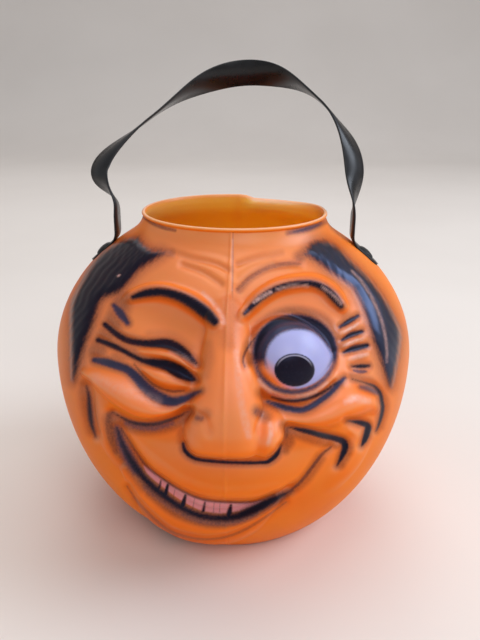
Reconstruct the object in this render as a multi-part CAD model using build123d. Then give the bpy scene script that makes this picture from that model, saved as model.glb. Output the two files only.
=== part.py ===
"""Pumpkin candy pail: a blow-moulded globe with a winking face, carried by a flat strap on two rivets.

Millimetres and degrees. +Z is up, the face looks along -Y, and the origin is the middle of the foot,
on the table. Places on the globe are given as (turn, lift): degrees round from the front, towards +X,
and degrees up from the widest ring.
"""

from build123d import *
import os
from math import acos, cos, degrees, radians, sin, sqrt, tan

# Globe, neck and foot
belly_radius = 95.0
belly_height = 94.5
foot_radius = 52.0
foot_corner_radius = 6.0
neck_radius = 47.0
neck_height = 8.0
shoulder_top = 161.5
rim_bead_radius = 1.2
wall = 1.5

# Face: each rise is how far a feature stands out of the globe. A roll runs through three places
nose_width = 42.0
nose_root_lift = 36.0
nose_tip_lift = 1.5
nose_root_rise = 3.5
nose_bridge_rise = 10.5
nose_tip_rise = 17.5
nose_bridge_radius = 10.0
nose_bulb_radius = 11.5
nose_wing_drop = 4.0
left_cheek = [(-38.0, 8.5), (-27.0, 6.5), (-16.0, 3.5)]
right_cheek = [(18.0, 0.5), (27.0, 3.0), (36.0, 3.5)]
cheek_radius = 13.0
cheek_rise = 8.5
left_lid = [(-28.0, 19.0), (-20.0, 17.5), (-12.0, 15.0)]
lid_radius = 9.0
lid_rise = 4.5
eye = (19.0, 21.5)
eye_radius = 26.0
eye_rise = 7.0
left_brow = [(-37.0, 36.0), (-22.0, 41.0), (-7.0, 36.0)]
right_brow = [(7.0, 38.0), (23.0, 44.5), (39.0, 38.0)]
brow_radius = 5.0
brow_rise = 3.5
muzzle = (0.0, -13.0)
muzzle_radius = 44.0
muzzle_rise = 5.5
mouth_line = [(-27.0, -11.5), (-9.0, -26.5), (16.0, -21.5)]
mouth_width = 9.0
mouth_depth = 3.0
chin = [(-27.0, -24.0), (-9.0, -38.0), (11.0, -29.0)]
chin_radius = 15.0
chin_rise = 5.0

# Strap and the flat lands that it is riveted to
strap_width = 14.0
strap_thickness = 1.2
strap_tip = 6.0
strap_bend_radius = 8.0
rivet_to_bend = 10.0
strap_hole_clearance = 0.1
land_place = (90.0, 43.2)
land_depth = 0.8
land_cut_spread = 2.4
hinge_clearance = 0.3
touch_gap = 0.02

# Handle: the strap between its two hinges, leaning back as it was left standing
tongue_length = 6.0
tongue_lean = 8.0
leg_turn = 49.0
crown_turn = 74.0
crown_rise = 71.5
crown_back = 43.0
strap_stations = 56

# The strap's route: across in hinge radii, then back and up as shares of crown_back and crown_rise
strap_route = [
    (-1.045, 0.05, 0.15),
    (-1.125, 0.11, 0.235),
    (-1.165, 0.2, 0.325),
    (-1.06, 0.36, 0.455),
    (-0.775, 0.63, 0.645),
    (-0.41, 0.86, 0.875),
    (0.02, 1.0, 1.0),
    (0.44, 0.86, 0.955),
    (0.715, 0.6, 0.805),
    (0.925, 0.33, 0.59),
    (1.005, 0.19, 0.365),
    (1.0, 0.11, 0.21),
]

# Shares of the strap's length at its left end, leg, twist, crown, right twist, leg and end
twist_stops = [0.0, 0.11, 0.27, 0.52, 0.73, 0.89, 1.0]

# Rivets
rivet_shank_radius = 2.0
rivet_head_radius = 4.6
rivet_head_height = 1.5
rivet_tail_radius = 3.4
rivet_tail_height = 1.2

# Points that a smooth oval is drawn through
oval_steps = 12

# Worked out from the values above
rim_height = shoulder_top + neck_height
lower_drop = belly_height / sqrt(1 - (foot_radius / belly_radius) ** 2)
upper_rise = (shoulder_top - belly_height) / sqrt(1 - (neck_radius / belly_radius) ** 2)


def globe_plane(turn, lift, depth=0.0):
    """Plane that touches the globe at a place, its normal pointing out, moved in by depth."""
    half = lower_drop if lift < 0 else upper_rise
    around = Vector(sin(radians(turn)), -cos(radians(turn)), 0)
    side = Vector(cos(radians(turn)), sin(radians(turn)), 0)
    up = Vector(0, 0, 1)
    across, rise = cos(radians(lift)), sin(radians(lift))
    point = around * (belly_radius * across) + up * (belly_height + half * rise)
    normal = (around * (across / belly_radius) + up * (rise / half)).normalized()
    return Plane(origin=point - normal * depth, x_dir=side, z_dir=normal)


def oval(centre_height, radius, half_length, start, end):
    """Smooth curve along an ellipse that stands on the axis, from one angle to another."""
    angles = [radians(start + (end - start) * i / oval_steps) for i in range(oval_steps + 1)]
    points = [(radius * cos(a), centre_height + half_length * sin(a)) for a in angles]
    headings = [(-radius * sin(a), half_length * cos(a)) for a in (angles[0], angles[-1])]
    return Spline(*points, tangents=headings)


def tube(path, radius):
    """Round bar along a line or an arc, with round ends."""
    bar = sweep(Plane(origin=path @ 0, z_dir=path % 0) * Circle(radius), path=path)
    return bar + [Pos(path @ 0) * Sphere(radius), Pos(path @ 1) * Sphere(radius)]


def roll(places, radius, rise, inset):
    """Round bar bent through three places, sunk into the globe so that it stands out by its rise."""
    line = ThreePointArc(*[globe_plane(*place, depth=radius - rise).origin for place in places])
    return tube(line, radius - inset)


def globe(inset):
    """The globe and its neck as one round solid. With an inset it is the hollow, open at the top."""
    lower = lower_drop - inset
    upper = upper_rise - inset
    radius = belly_radius - inset
    neck = neck_radius - inset
    top = rim_height + inset
    foot = radius * sqrt(1 - ((belly_height - inset) / lower) ** 2)
    foot_angle = degrees(acos(foot / radius))
    neck_angle = degrees(acos(neck / radius))
    below = oval(belly_height, radius, lower, -foot_angle, 0)
    above = oval(belly_height, radius, upper, 0, neck_angle)
    rest = Polyline(above @ 1, (neck, top), (0, top), (0, inset), below @ 0)
    outline = make_face([below, above, rest])
    foot_edge = outline.vertices().sort_by(lambda v: (v.X - foot) ** 2 + (v.Y - inset) ** 2)[0]
    outline = fillet(foot_edge, foot_corner_radius)
    return revolve(Plane.XZ * outline, Axis.Z)


def swelling(place, radius, rise, inset):
    """Ball sunk into the globe so that it stands out by its rise."""
    return globe_plane(*place, depth=radius - rise) * Rot(0, 90, 0) * Sphere(radius - inset)


def nose(inset):
    """Bridge that arches down to the tip, and a wide blunt end with round wings."""
    middle_lift = (nose_root_lift + nose_tip_lift) / 2
    root = globe_plane(0, nose_root_lift, depth=nose_bridge_radius - nose_root_rise).origin
    middle = globe_plane(0, middle_lift, depth=nose_bridge_radius - nose_bridge_rise).origin
    tip = globe_plane(0, nose_tip_lift, depth=nose_bulb_radius - nose_tip_rise).origin
    reach = nose_width / 2 - nose_bulb_radius
    left, right = (tip + Vector(side * reach, nose_wing_drop, 0) for side in (-1, 1))
    bridge = tube(ThreePointArc(root, middle, tip), nose_bridge_radius - inset)
    return bridge + tube(ThreePointArc(left, tip, right), nose_bulb_radius - inset)


def land_plane(inset=0.0):
    """Flat land on the right shoulder, its normal pointing out."""
    return globe_plane(*land_place, depth=land_depth + inset)


def land_cutters(inset):
    """What is shaved off both shoulders to leave a flat land for each end of the strap."""
    size = land_cut_spread * sqrt(2 * belly_radius * land_depth)
    right = land_plane(inset) * Box(size, size, size / 2, align=(Align.CENTER, Align.CENTER, Align.MIN))
    return [right, mirror(right, about=Plane.YZ)]


def pail_form(inset):
    """The pail's outside, or with an inset its hollow."""
    form = globe(inset) + [
        nose(inset),
        swelling(eye, eye_radius, eye_rise, inset),
        swelling(muzzle, muzzle_radius, muzzle_rise, inset),
        roll(left_lid, lid_radius, lid_rise, inset),
        roll(chin, chin_radius, chin_rise, inset),
        roll(left_cheek, cheek_radius, cheek_rise, inset),
        roll(right_cheek, cheek_radius, cheek_rise, inset),
    ]
    form -= roll(mouth_line, mouth_width / 2, mouth_width - mouth_depth, -inset)
    return form - land_cutters(inset)


def rivet_hole():
    """Hole through the strap and the wall, with room to spare at both ends."""
    length = 8 * (wall + strap_thickness)
    return land_plane() * Cylinder(rivet_shank_radius + strap_hole_clearance, length)


def pail_shell():
    shell = pail_form(0.0) + Pos(0, 0, rim_height - rim_bead_radius) * Torus(neck_radius, rim_bead_radius)
    shell += [roll(brow, brow_radius, brow_rise, 0.0) for brow in (left_brow, right_brow)]
    shell -= pail_form(wall)
    hole = rivet_hole()
    return shell - [hole, mirror(hole, about=Plane.YZ)]


# The strap's end lies on the land, then bends up to the hinge. Its line is drawn in the XZ plane
land = land_plane()
land_normal = land.z_dir
up_slope = Vector(-land_normal.Z, 0, land_normal.X)
strap_seat = land.origin + land_normal * (strap_thickness / 2 + touch_gap)
slope_angle = degrees(acos(up_slope.Z))
corner = strap_seat + up_slope * rivet_to_bend
hinge_radius = corner.X
bend_reach = strap_bend_radius * tan(radians(slope_angle) / 2)
tab_top = corner.Z + bend_reach + strap_thickness
hinge_height = tab_top + strap_width / 2 + hinge_clearance


def strap_tab():
    """Right end of the strap, from its tip under the rivet up to the hinge."""
    tip = strap_seat - up_slope * strap_tip
    line = FilletPolyline((tip.X, tip.Z), (corner.X, corner.Z), (corner.X, tab_top), radius=strap_bend_radius)
    strip = extrude(Plane.XZ * trace(line, strap_thickness), amount=strap_width / 2, both=True)
    return strip - rivet_hole()


def rivet():
    """Right rivet: a low domed head on the strap, and a tail spread against the inside of the wall."""
    seat = strap_thickness + 2 * touch_gap
    inner = -wall - touch_gap
    dome = oval(seat, rivet_head_radius, rivet_head_height, 0, 90)
    rest = Polyline(
        (0, seat + rivet_head_height),
        (0, inner - rivet_tail_height),
        (rivet_tail_radius, inner - rivet_tail_height),
        (rivet_tail_radius, inner),
        (rivet_shank_radius, inner),
        (rivet_shank_radius, seat),
        (rivet_head_radius, seat),
    )
    return land * revolve(Plane.XZ * make_face([dome, rest]), Axis.Z)


def tongue(side):
    """Flat lower end of the handle, rounded about its hinge."""
    outline = Circle(strap_width / 2) + Pos(0, tongue_length / 2) * Rectangle(strap_width, tongue_length)
    upright = Plane(origin=(side * hinge_radius, 0, hinge_height), x_dir=(0, 1, 0), z_dir=(1, 0, 0))
    return upright * Rot(0, 0, -tongue_lean) * extrude(outline, amount=strap_thickness / 2, both=True)


def strap_line():
    """Middle line of the handle from the left tongue to the right one."""
    rise = Vector(0, sin(radians(tongue_lean)), cos(radians(tongue_lean)))
    start, end = (Vector(side * hinge_radius, 0, hinge_height) + rise * tongue_length for side in (-1, 1))
    route = [
        (across * hinge_radius, back * crown_back, hinge_height + up * crown_rise)
        for across, back, up in strap_route
    ]
    return Spline(start, *route, end, tangents=(rise, -rise))


def across_strap(share):
    """Direction across the strap: level at its twists, turned out at the legs, tipped at the crown."""
    lean, leg, tip = radians(tongue_lean), radians(leg_turn), radians(crown_turn)
    end = Vector(0, cos(lean), -sin(lean))
    level = Vector(0, 1, 0)
    ways = [
        end,
        Vector(-sin(leg), cos(leg), 0),
        level,
        Vector(0, cos(tip), -sin(tip)),
        level,
        Vector(sin(leg), cos(leg), 0),
        end,
    ]
    stops = list(zip(twist_stops, ways))
    for (low, before), (high, after) in zip(stops, stops[1:]):
        if share <= high:
            part = (share - low) / (high - low)
            ease = part * part * (3 - 2 * part)
            return before * (1 - ease) + after * ease
    return end


def strap_section(line, share):
    along = line % share
    across = across_strap(share)
    across = (across - along * across.dot(along)).normalized()
    return Plane(origin=line @ share, x_dir=across, z_dir=along) * Rectangle(strap_width, strap_thickness)


def strap_bow():
    line = strap_line()
    sections = [strap_section(line, i / strap_stations) for i in range(strap_stations + 1)]
    return loft(sections, ruled=True) + [tongue(-1), tongue(1)]


right_tab = strap_tab()
right_rivet = rivet()
parts = {
    "pail_shell": pail_shell(),
    "strap_bow": strap_bow(),
    "strap_tab_left": mirror(right_tab, about=Plane.YZ),
    "strap_tab_right": right_tab,
    "rivet_left": mirror(right_rivet, about=Plane.YZ),
    "rivet_right": right_rivet,
}
os.makedirs("parts", exist_ok=True)
for name, part in parts.items():
    export_step(part, f"parts/{name}.step")
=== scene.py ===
"""Looks of the pumpkin candy pail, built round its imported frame.

The face is raised and painted from marks named in the photograph's frame, which is 480 by 640 pixels,
x to the right and y down. A stroke is a list of (x, y, half width) along a line in that frame.
Lengths on the object are millimetres until a mesh is made from them.
"""

from math import acos, cos, pi, radians, sin, sqrt, tan

import bpy
import numpy as np
from mathutils import Matrix, Vector


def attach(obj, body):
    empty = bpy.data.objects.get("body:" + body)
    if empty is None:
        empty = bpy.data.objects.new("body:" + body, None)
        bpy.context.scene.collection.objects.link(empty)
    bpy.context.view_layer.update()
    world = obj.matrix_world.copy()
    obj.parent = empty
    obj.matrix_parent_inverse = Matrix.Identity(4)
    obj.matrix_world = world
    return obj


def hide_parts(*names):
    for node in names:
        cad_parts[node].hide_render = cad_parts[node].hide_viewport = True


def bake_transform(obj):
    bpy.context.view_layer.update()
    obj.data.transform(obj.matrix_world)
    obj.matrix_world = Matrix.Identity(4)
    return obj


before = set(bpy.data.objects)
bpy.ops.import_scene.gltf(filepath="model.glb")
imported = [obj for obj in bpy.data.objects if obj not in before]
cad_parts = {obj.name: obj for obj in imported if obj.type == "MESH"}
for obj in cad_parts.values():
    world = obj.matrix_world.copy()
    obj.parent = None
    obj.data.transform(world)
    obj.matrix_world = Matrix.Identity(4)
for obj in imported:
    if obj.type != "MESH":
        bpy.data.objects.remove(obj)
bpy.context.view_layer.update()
mm = 0.001
far = 1e3
tiny = 1e-9

# Camera, fitted to the photograph
photo_width = 480
photo_height = 640
focal_pixels = 700.0
camera_place = (12.38, -361.78, 237.91)
camera_down = 19.7
camera_turn = 1.43
camera_roll = 0.57

# Globe, neck, wall and foot, as in the solids
belly_radius = 95.0
belly_height = 94.5
foot_radius = 52.0
foot_corner_radius = 6.0
neck_radius = 47.0
neck_height = 8.0
shoulder_top = 161.5
wall = 1.5
rim_height = shoulder_top + neck_height
lower_drop = belly_height / sqrt(1 - (foot_radius / belly_radius) ** 2)
upper_rise = (shoulder_top - belly_height) / sqrt(1 - (neck_radius / belly_radius) ** 2)

# Rim: a bead slimmer than in the solids, the hollow under the neck, and the bend outward at the far right
rim_bead_radius = 0.9
rim_bead_turns = (-60, -30, 0, 30, 60, 90, 120, 150)
neck_blend = 20.0
neck_blend_passes = 150
flare_turns = (98.0, 154.0, 168.0, 176.0)
flare_depth = 7.6
flare_out = 6.0
flare_drop = 3.0

# Grid of the shell: fine in front, where the face is, and coarse behind and inside
front_half_turn = 84.0
front_columns = 340
back_columns = 44
seam_columns = (-0.9, -0.4, 0.0, 0.4, 0.9)
row_spacing = 0.70
inner_row_skip = 6
foot_rings = (6.0, 24.0, 40.0)

# How many times the relief is softened, and the inside is thinned and softened to stay clear of it
relief_passes = 2
thinning_passes = 7
inner_passes = 5
hollow_passes = 6

# Least cosines, to the camera and to the front, at which a point takes part in the face
least_facing = -0.4
least_forward = 0.05

# Heights over which the face fades out above the foot and below the neck
face_over_foot = 12.0
face_under_neck = 7.0

# Mould seam down the middle of the front and the back: half width, rise and the heights where it starts
seam_half = 0.7
seam_rise = 0.35
seam_start = (2.0, 12.0)

# Strap, as in the solids, but with longer tips and a smoothed line
strap_width = 14.0
strap_thickness = 1.2
strap_tip = 9.0
strap_smoothing = 60
strap_bend_radius = 8.0
rivet_to_bend = 10.0
touch_gap = 0.02
hinge_clearance = 0.3
land_lift = 43.2
land_depth = 0.8
tongue_length = 6.0
tongue_lean = 8.0
leg_turn = 49.0
crown_turn = 74.0
crown_rise = 71.5
crown_back = 43.0
least_half_width = sqrt(0.2)

# Route of the bow: shares of the hinge's distance across, of the crown's way back and of its rise
strap_route = [
    (-1.045, 0.05, 0.15), (-1.125, 0.11, 0.235), (-1.165, 0.2, 0.325), (-1.06, 0.36, 0.455),
    (-0.775, 0.63, 0.645), (-0.41, 0.86, 0.875), (0.02, 1, 1), (0.44, 0.86, 0.955), (0.715, 0.6, 0.805),
    (0.925, 0.33, 0.59), (1.005, 0.19, 0.365), (1, 0.11, 0.21),
]

# Shares of the bow's length at its left end, leg, twist, crown, right twist, leg and end
twist_stops = [0.0, 0.11, 0.27, 0.52, 0.73, 0.89, 1.0]

# Broad forms of the face: pixel of the middle, rise, half length, half width, tilt in degrees
broad_forms = {
    "muzzle": ((228, 480), 5, 42, 27, 0),
    "left cheek": ((136, 398), 5, 34, 20, -14),
    "right cheek": ((331, 409), 5, 33, 20, 14),
    "left socket": ((172, 322), -4, 28, 14, -14),
    "right socket": ((292, 324), -3.5, 30, 19, 4),
    "inner corner of the left eye": ((207, 356), -2, 9, 18, 0),
    "inner corner of the right eye": ((250, 360), -1.5, 8, 18, 0),
    "left jowl": ((106, 440), 3, 12, 24, 14),
    "right jowl": ((356, 462), 3, 14, 24, -24),
    "left lid": ((166, 370), 3, 22, 13, -20),
}

# Rolls of flesh: stroke, rise
rolls = {
    "left cheek": ([
        (86, 372, 5), (104, 381, 11), (124, 393, 16), (146, 406, 17), (168, 410, 13), (190, 401, 5),
    ], 7),
    "right cheek": ([
        (282, 419, 5), (303, 421, 9), (327, 415, 14), (350, 403, 17), (366, 402, 12), (375, 408, 6),
    ], 5.2),
    "left upper lid": ([(140, 350, 3), (156, 352, 6), (170, 355, 7), (184, 361, 7), (198, 371, 4)], 2.4),
    "left lower lid": ([(143, 369, 5), (164, 378, 10), (186, 385, 5)], 2.2),
    "right lower lid": ([
        (250, 366, 4), (260, 386, 7), (279, 395, 8), (297, 397, 8), (315, 391, 7), (334, 377, 4),
    ], 2.4),
    "chin": ([
        (126, 468, 6), (150, 504, 12), (180, 526, 14), (214, 532, 14), (243, 525, 13), (264, 511, 10),
        (278, 500, 7),
    ], 3.8),
    "upper lip": ([
        (128, 434, 4), (145, 455, 7), (163, 470, 8), (185, 484, 8), (215, 493, 8), (250, 493, 8),
        (282, 486, 5),
    ], 0.8),
    "left brow": ([
        (126, 300, 5), (147, 293, 9), (162, 292, 10), (178, 296, 10), (193, 303, 11), (206, 313, 11),
        (216, 323, 8),
    ], 3),
    "right brow": ([
        (242, 317, 6), (253, 305, 9), (262, 297, 10), (277, 288, 10), (295, 284, 10), (312, 283, 10),
        (325, 288, 10), (334, 297, 10), (342, 308, 6),
    ], 3),
    "between the right folds": ([(350, 430, 4), (357, 437, 7), (352, 452, 4)], 1.2),
}
roll_taper = 0.7
roll_power = 1.2

# Nose: how far it stands out and half its width, by height
nose_heights = [82.5, 84, 86, 90, 96, 104, 113, 122, 131, 138, 147]
nose_rises = [0, 8, 13.8, 16.4, 16.8, 15.8, 13.2, 10.5, 7.5, 4.5, 0]
nose_halves = [15, 16.5, 17, 17, 16.5, 15.5, 13.5, 12, 11, 10, 9]

# Nose: heights of its slim and its blunt part, and how square and how sharp its section is at each
nose_slim_height = 140.0
nose_blunt_height = 104.0
nose_squareness = (1.8, 3.4)
nose_sharpness = (1.6, 0.75)
nose_wings = [(199, 448), (271, 447)]
nose_wing_rise = 14.0
nose_wing_half = (9.5, 12.0)

# Eye that is open: its socket, ball and pupil
eye_middle = (295.0, 352.0)
eye_half = (41.0, 36.5)
eye_rise = 8.0
eye_ball_middle = (296, 357)
eye_ball_half = (20.5, 19.5)
pupil_middle = (294.5, 370.0)
pupil_half = (20.3, 16.6)

# How softly the eye, the wings and the nose meet what lies round them
eye_valley = 1.5
wing_valley = 2.5
nose_valley = 2.0

# Marks of brush and mould: stroke, edge softness, strength, rise and its reach
dark_marks = {
    "left brow": ([
        (133, 297, 2.5), (147, 293, 4), (162, 292, 4.2), (178, 296, 4.8), (193, 303.5, 5.6), (206, 313, 6),
        (214.5, 321, 4.5),
    ], 3, 1, 2, 7),
    "right brow": ([
        (244.5, 313.5, 1.8), (253, 305, 2.8), (262, 297, 3.2), (277, 288.5, 3), (294.7, 283.7, 2.8),
        (312, 283.5, 3), (324.5, 288.5, 3.6), (334, 297, 4.2), (341, 306, 3),
    ], 2.5, 1, 2.2, 6),
    "left lid crease": ([
        (105, 324.5, 2.6), (117, 334.5, 3.2), (128, 340.5, 3.2), (141, 343, 3.4), (152, 343.5, 4),
        (163, 343.5, 5), (173, 346, 5.5), (184, 353, 5), (192, 360, 3), (197, 365, 1.2),
    ], 2.5, 0.95, -2.2, 5),
    "left eye slit": ([
        (98, 340, 2.4), (110, 344.5, 2.8), (122, 350, 2.6), (133, 356, 2.4), (143, 360.5, 2.6),
        (155, 363, 4.2), (167, 365.5, 5.6), (179, 371.5, 6.6), (189, 377, 4.6), (195, 380, 1.5),
    ], 2.5, 1, -2.4, 5),
    "under the left lid": ([
        (134, 364, 0.5), (144, 376, 0.8), (155, 385.5, 0.9), (170, 391, 0.9), (184, 391, 0.6),
    ], 2, 0.55, -0.8, 3),
    "left cheek crease": ([
        (112, 412, 0.5), (121, 417, 1), (130, 421.5, 1.5), (141, 424, 1.8), (154, 424, 1.8),
        (168, 420.5, 1.5), (180, 416, 1), (189, 411, 0.5),
    ], 2.5, 0.8, -2.2, 5),
    "left jaw fold": ([
        (86.5, 386, 0.6), (88.8, 396, 1.8), (89.4, 406, 2.5), (90.4, 416, 2.6), (92.2, 426, 2),
        (95.5, 436, 0.8),
    ], 3.5, 0.9, -2.2, 5),
    "left outer lip fold": ([(109, 414, 1), (109, 425, 2), (112, 440, 2), (116, 452, 1)], 5, 0.35, -1.2, 4),
    "upper lip": ([
        (121, 428, 0.6), (131, 444, 0.8), (140, 458, 1), (148.5, 468, 1.1), (163, 479, 1), (182, 491, 1),
        (203, 499.5, 1), (225, 502, 1), (254, 502, 1), (273, 497, 1), (290, 491, 0.8),
    ], 2.5, 0.6, -1, 3),
    "mouth": ([
        (117, 429, 0.4), (124, 447, 1.6), (133, 463, 3), (146, 480, 4), (162, 494, 4), (179, 506, 3.8),
        (197, 514.5, 3.6), (218, 518, 3.6), (236, 516.5, 4.2), (249, 511.5, 5), (261, 506, 5.2),
        (273, 500, 4.4), (284, 494.5, 2.6), (292, 490.5, 0.8),
    ], 5, 1, -1.6, 6),
    "smile": ([
        (290, 491, 0.8), (301, 481.5, 1.2), (312, 467.5, 1.3), (322, 454.5, 1.1), (331, 447, 0.5),
    ], 2.5, 0.6, -1.6, 4),
    "under the nose": ([
        (183, 443, 1.2), (185, 450.5, 2.2), (192, 457, 2), (202, 460, 1.7), (232, 462.5, 1.7),
        (262, 462.5, 1.8), (270, 460.5, 2.2), (277, 454, 2.2), (281, 446, 0.8),
    ], 1.8, 1, -1.2, 3),
    "right wing": ([(281, 446, 0.6), (285.5, 437, 1), (287.5, 428, 0.6)], 3, 0.4, -0.8, 3),
    "right eye ring": ([
        (255.5, 362, 1), (256.5, 348, 2.2), (263, 333, 3), (275, 322.5, 3.2), (290, 318.5, 2.8),
        (306, 320, 2.8), (319, 326.5, 3.2), (329, 337, 3.4), (334.5, 350, 2),
    ], 3, 1, -2, 5),
    "right bag crease": ([
        (272, 397, 0.8), (283, 400, 1.6), (297, 400.5, 2), (312, 397, 2), (325, 391, 1.6), (336, 383, 1),
    ], 2.5, 0.9, -1.2, 4),
    "right inner corner": ([
        (256, 337, 0.5), (249.5, 345, 0.8), (244.5, 354, 0.9), (243.2, 361, 0.8), (245, 367, 0.5),
    ], 2, 0.6, -0.8, 3),
    "right crow's foot 1": ([(340, 327, 1.4), (349.5, 321, 2.6), (358, 316, 1.6)], 2.2, 1, -1.6, 3.5),
    "right crow's foot 2": ([(342, 340, 1.4), (352, 334.5, 2.8), (362, 331.5, 1.9)], 2.2, 1, -1.6, 3.5),
    "right crow's foot 3": ([(344, 352, 1.4), (354, 348.5, 3.2), (367, 345.5, 2.4)], 2.2, 1, -1.6, 3.5),
    "right crow's foot 4": ([(352, 366.5, 0.8), (361, 366.3, 2.2), (369, 365.8, 1.4)], 2.2, 1, -1.4, 3.5),
    "right cheek line": ([
        (352, 379, 0.3), (365, 382.8, 0.8), (374.5, 386.5, 1.5), (380, 393, 1.9), (381.8, 401, 2),
        (382.6, 408, 2), (381, 417, 1.8), (378.2, 426, 1.2), (376, 431, 0.6),
    ], 2, 1, -1, 3.5),
    "right upper fold": ([
        (347, 420.7, 0.5), (354, 421.6, 1.6), (362, 423.2, 2.8), (368, 426.5, 3.4), (367, 433, 3.3),
        (364.8, 439.5, 2.8), (361.5, 446, 0.8),
    ], 1.8, 1, -1.8, 4),
    "right lower fold": ([
        (290, 427, 0.6), (298, 429.2, 2), (309.5, 432, 2.7), (323, 435.7, 3), (335.4, 438.5, 3),
        (343.5, 442, 3.5), (345, 448, 3.4), (342, 456, 2.5), (337, 466, 0.6),
    ], 2, 1, -2, 4.5),
    "chin fold": ([
        (127, 486, 0.2), (137.5, 501.5, 0.6), (154, 518.5, 0.7), (171, 531.5, 0.6), (196, 538.5, 0.4),
        (217, 538.5, 0.4), (236, 533.5, 0.6), (258.5, 521.7, 0.7), (286, 502, 0.2),
    ], 2.2, 0.4, -2, 4),
    "frown": ([
        (237.5, 289.5, 0.5), (250, 277.5, 0.9), (268.5, 267.5, 1), (287, 263.5, 0.9), (300, 264, 0.4),
    ], 3, 0.35, -1.2, 4),
    "gap 1": ([(161, 480, 0.6), (159.5, 488, 1.4)], 1.6, 0.9, -0.6, 2),
    "gap 2": ([(168, 484, 1.2), (165.5, 494, 2.6)], 1.6, 1, -0.6, 2),
    "gap 3": ([(185.5, 495, 1.2), (182.8, 505, 2.8)], 1.6, 1, -0.6, 2),
    "gap 4": ([(205, 502, 0.7), (203.3, 511, 1.8)], 1.8, 0.95, -0.6, 2),
    "gap 5": ([(231, 505, 1.2), (229.3, 513, 3)], 1.8, 1, -0.6, 2),
    "faint gap 1": ([(194.5, 498.5, 0.2), (193, 508, 0.3)], 1.2, 0.5, -0.3, 1.5),
    "faint gap 2": ([(214, 502.5, 0.2), (213.5, 512, 0.3)], 1.2, 0.5, -0.3, 1.5),
    "faint gap 3": ([(220, 503, 0.2), (219.5, 513, 0.3)], 1.2, 0.5, -0.3, 1.5),
    "faint gap 4": ([(175, 489, 0.2), (173.5, 497, 0.3)], 1.2, 0.5, -0.3, 1.5),
}

# Thin grey spray: the same columns as the dark marks
grey_marks = {
    "left crow's foot": ([(114, 305.5, 2.2), (120.5, 313.5, 4), (127.5, 323, 2.4)], 3, 1, -1.2, 4),
    "left bag": ([
        (94.5, 360, 2.6), (105, 362, 3.8), (115, 365, 4), (127, 369.5, 4), (136, 377, 4.6), (144, 386, 5.2),
        (153, 393.5, 5.6), (163, 399, 5.4), (173, 401.5, 4.6), (184, 399, 3.4), (194, 394, 2.2),
        (201, 391, 1),
    ], 2.5, 1, -1.8, 6),
    "right lower lid": ([
        (254.5, 358, 1), (258, 371, 1.5), (266, 382, 2), (278, 389.5, 2.2), (294, 392, 2.4),
        (310, 388.5, 2.2), (324, 379, 1.8), (332.5, 366, 1.2), (335, 354, 0.8),
    ], 4, 0.85, -1.2, 3),
    "right bag": ([
        (267.5, 401.5, 1.4), (277, 405, 2.6), (289, 408.5, 3), (301, 410, 3), (310, 407, 3),
        (320, 400.5, 3), (330, 393, 2.8), (339, 383.5, 2.6), (344.5, 378, 1.4),
    ], 2.5, 1, -1, 4),
    "right cheek haze": ([(361, 387, 1.5), (369, 389, 2.4), (378, 393, 1.6)], 4, 0.7, -0.4, 3),
    "right crow's haze": ([(354, 370.5, 1), (361, 371.8, 1.8), (366, 371.3, 1)], 2, 0.7, -0.4, 2),
    "streak on the neck": ([
        (290, 232.5, 0.3), (301, 230.3, 1.6), (312, 227.3, 1.8), (321, 223.5, 0.6),
    ], 4, 0.8, 0, 3),
    "nose smudge": ([(257, 411.5, 2), (260, 413.5, 2)], 5, 0.45, 0, 3),
    "wing smudge": ([(197, 418, 1.6), (201, 419, 1.6)], 4, 0.45, 0, 3),
    "corner of the mouth": ([(117, 428, 2), (121, 441, 4), (128, 456, 5), (136, 470, 4)], 7, 0.8, 0, 3),
    "below the mouth": ([
        (146, 488, 1.5), (163, 500, 2), (180, 511, 2), (198, 519, 2.5), (218, 522, 2.5), (238, 521, 2),
        (256, 514, 1),
    ], 6, 0.4, 0, 3),
    # Painted shade under the left cheek roll
    "below the left cheek": ([(126, 423, 1), (140, 427, 2), (156, 427.5, 2), (172, 423, 1)], 6, 0.55, 0, 3),
}
all_marks = [*dark_marks.values(), *grey_marks.values()]
crease_share = 0.85
edge_softness = 1.3
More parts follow.
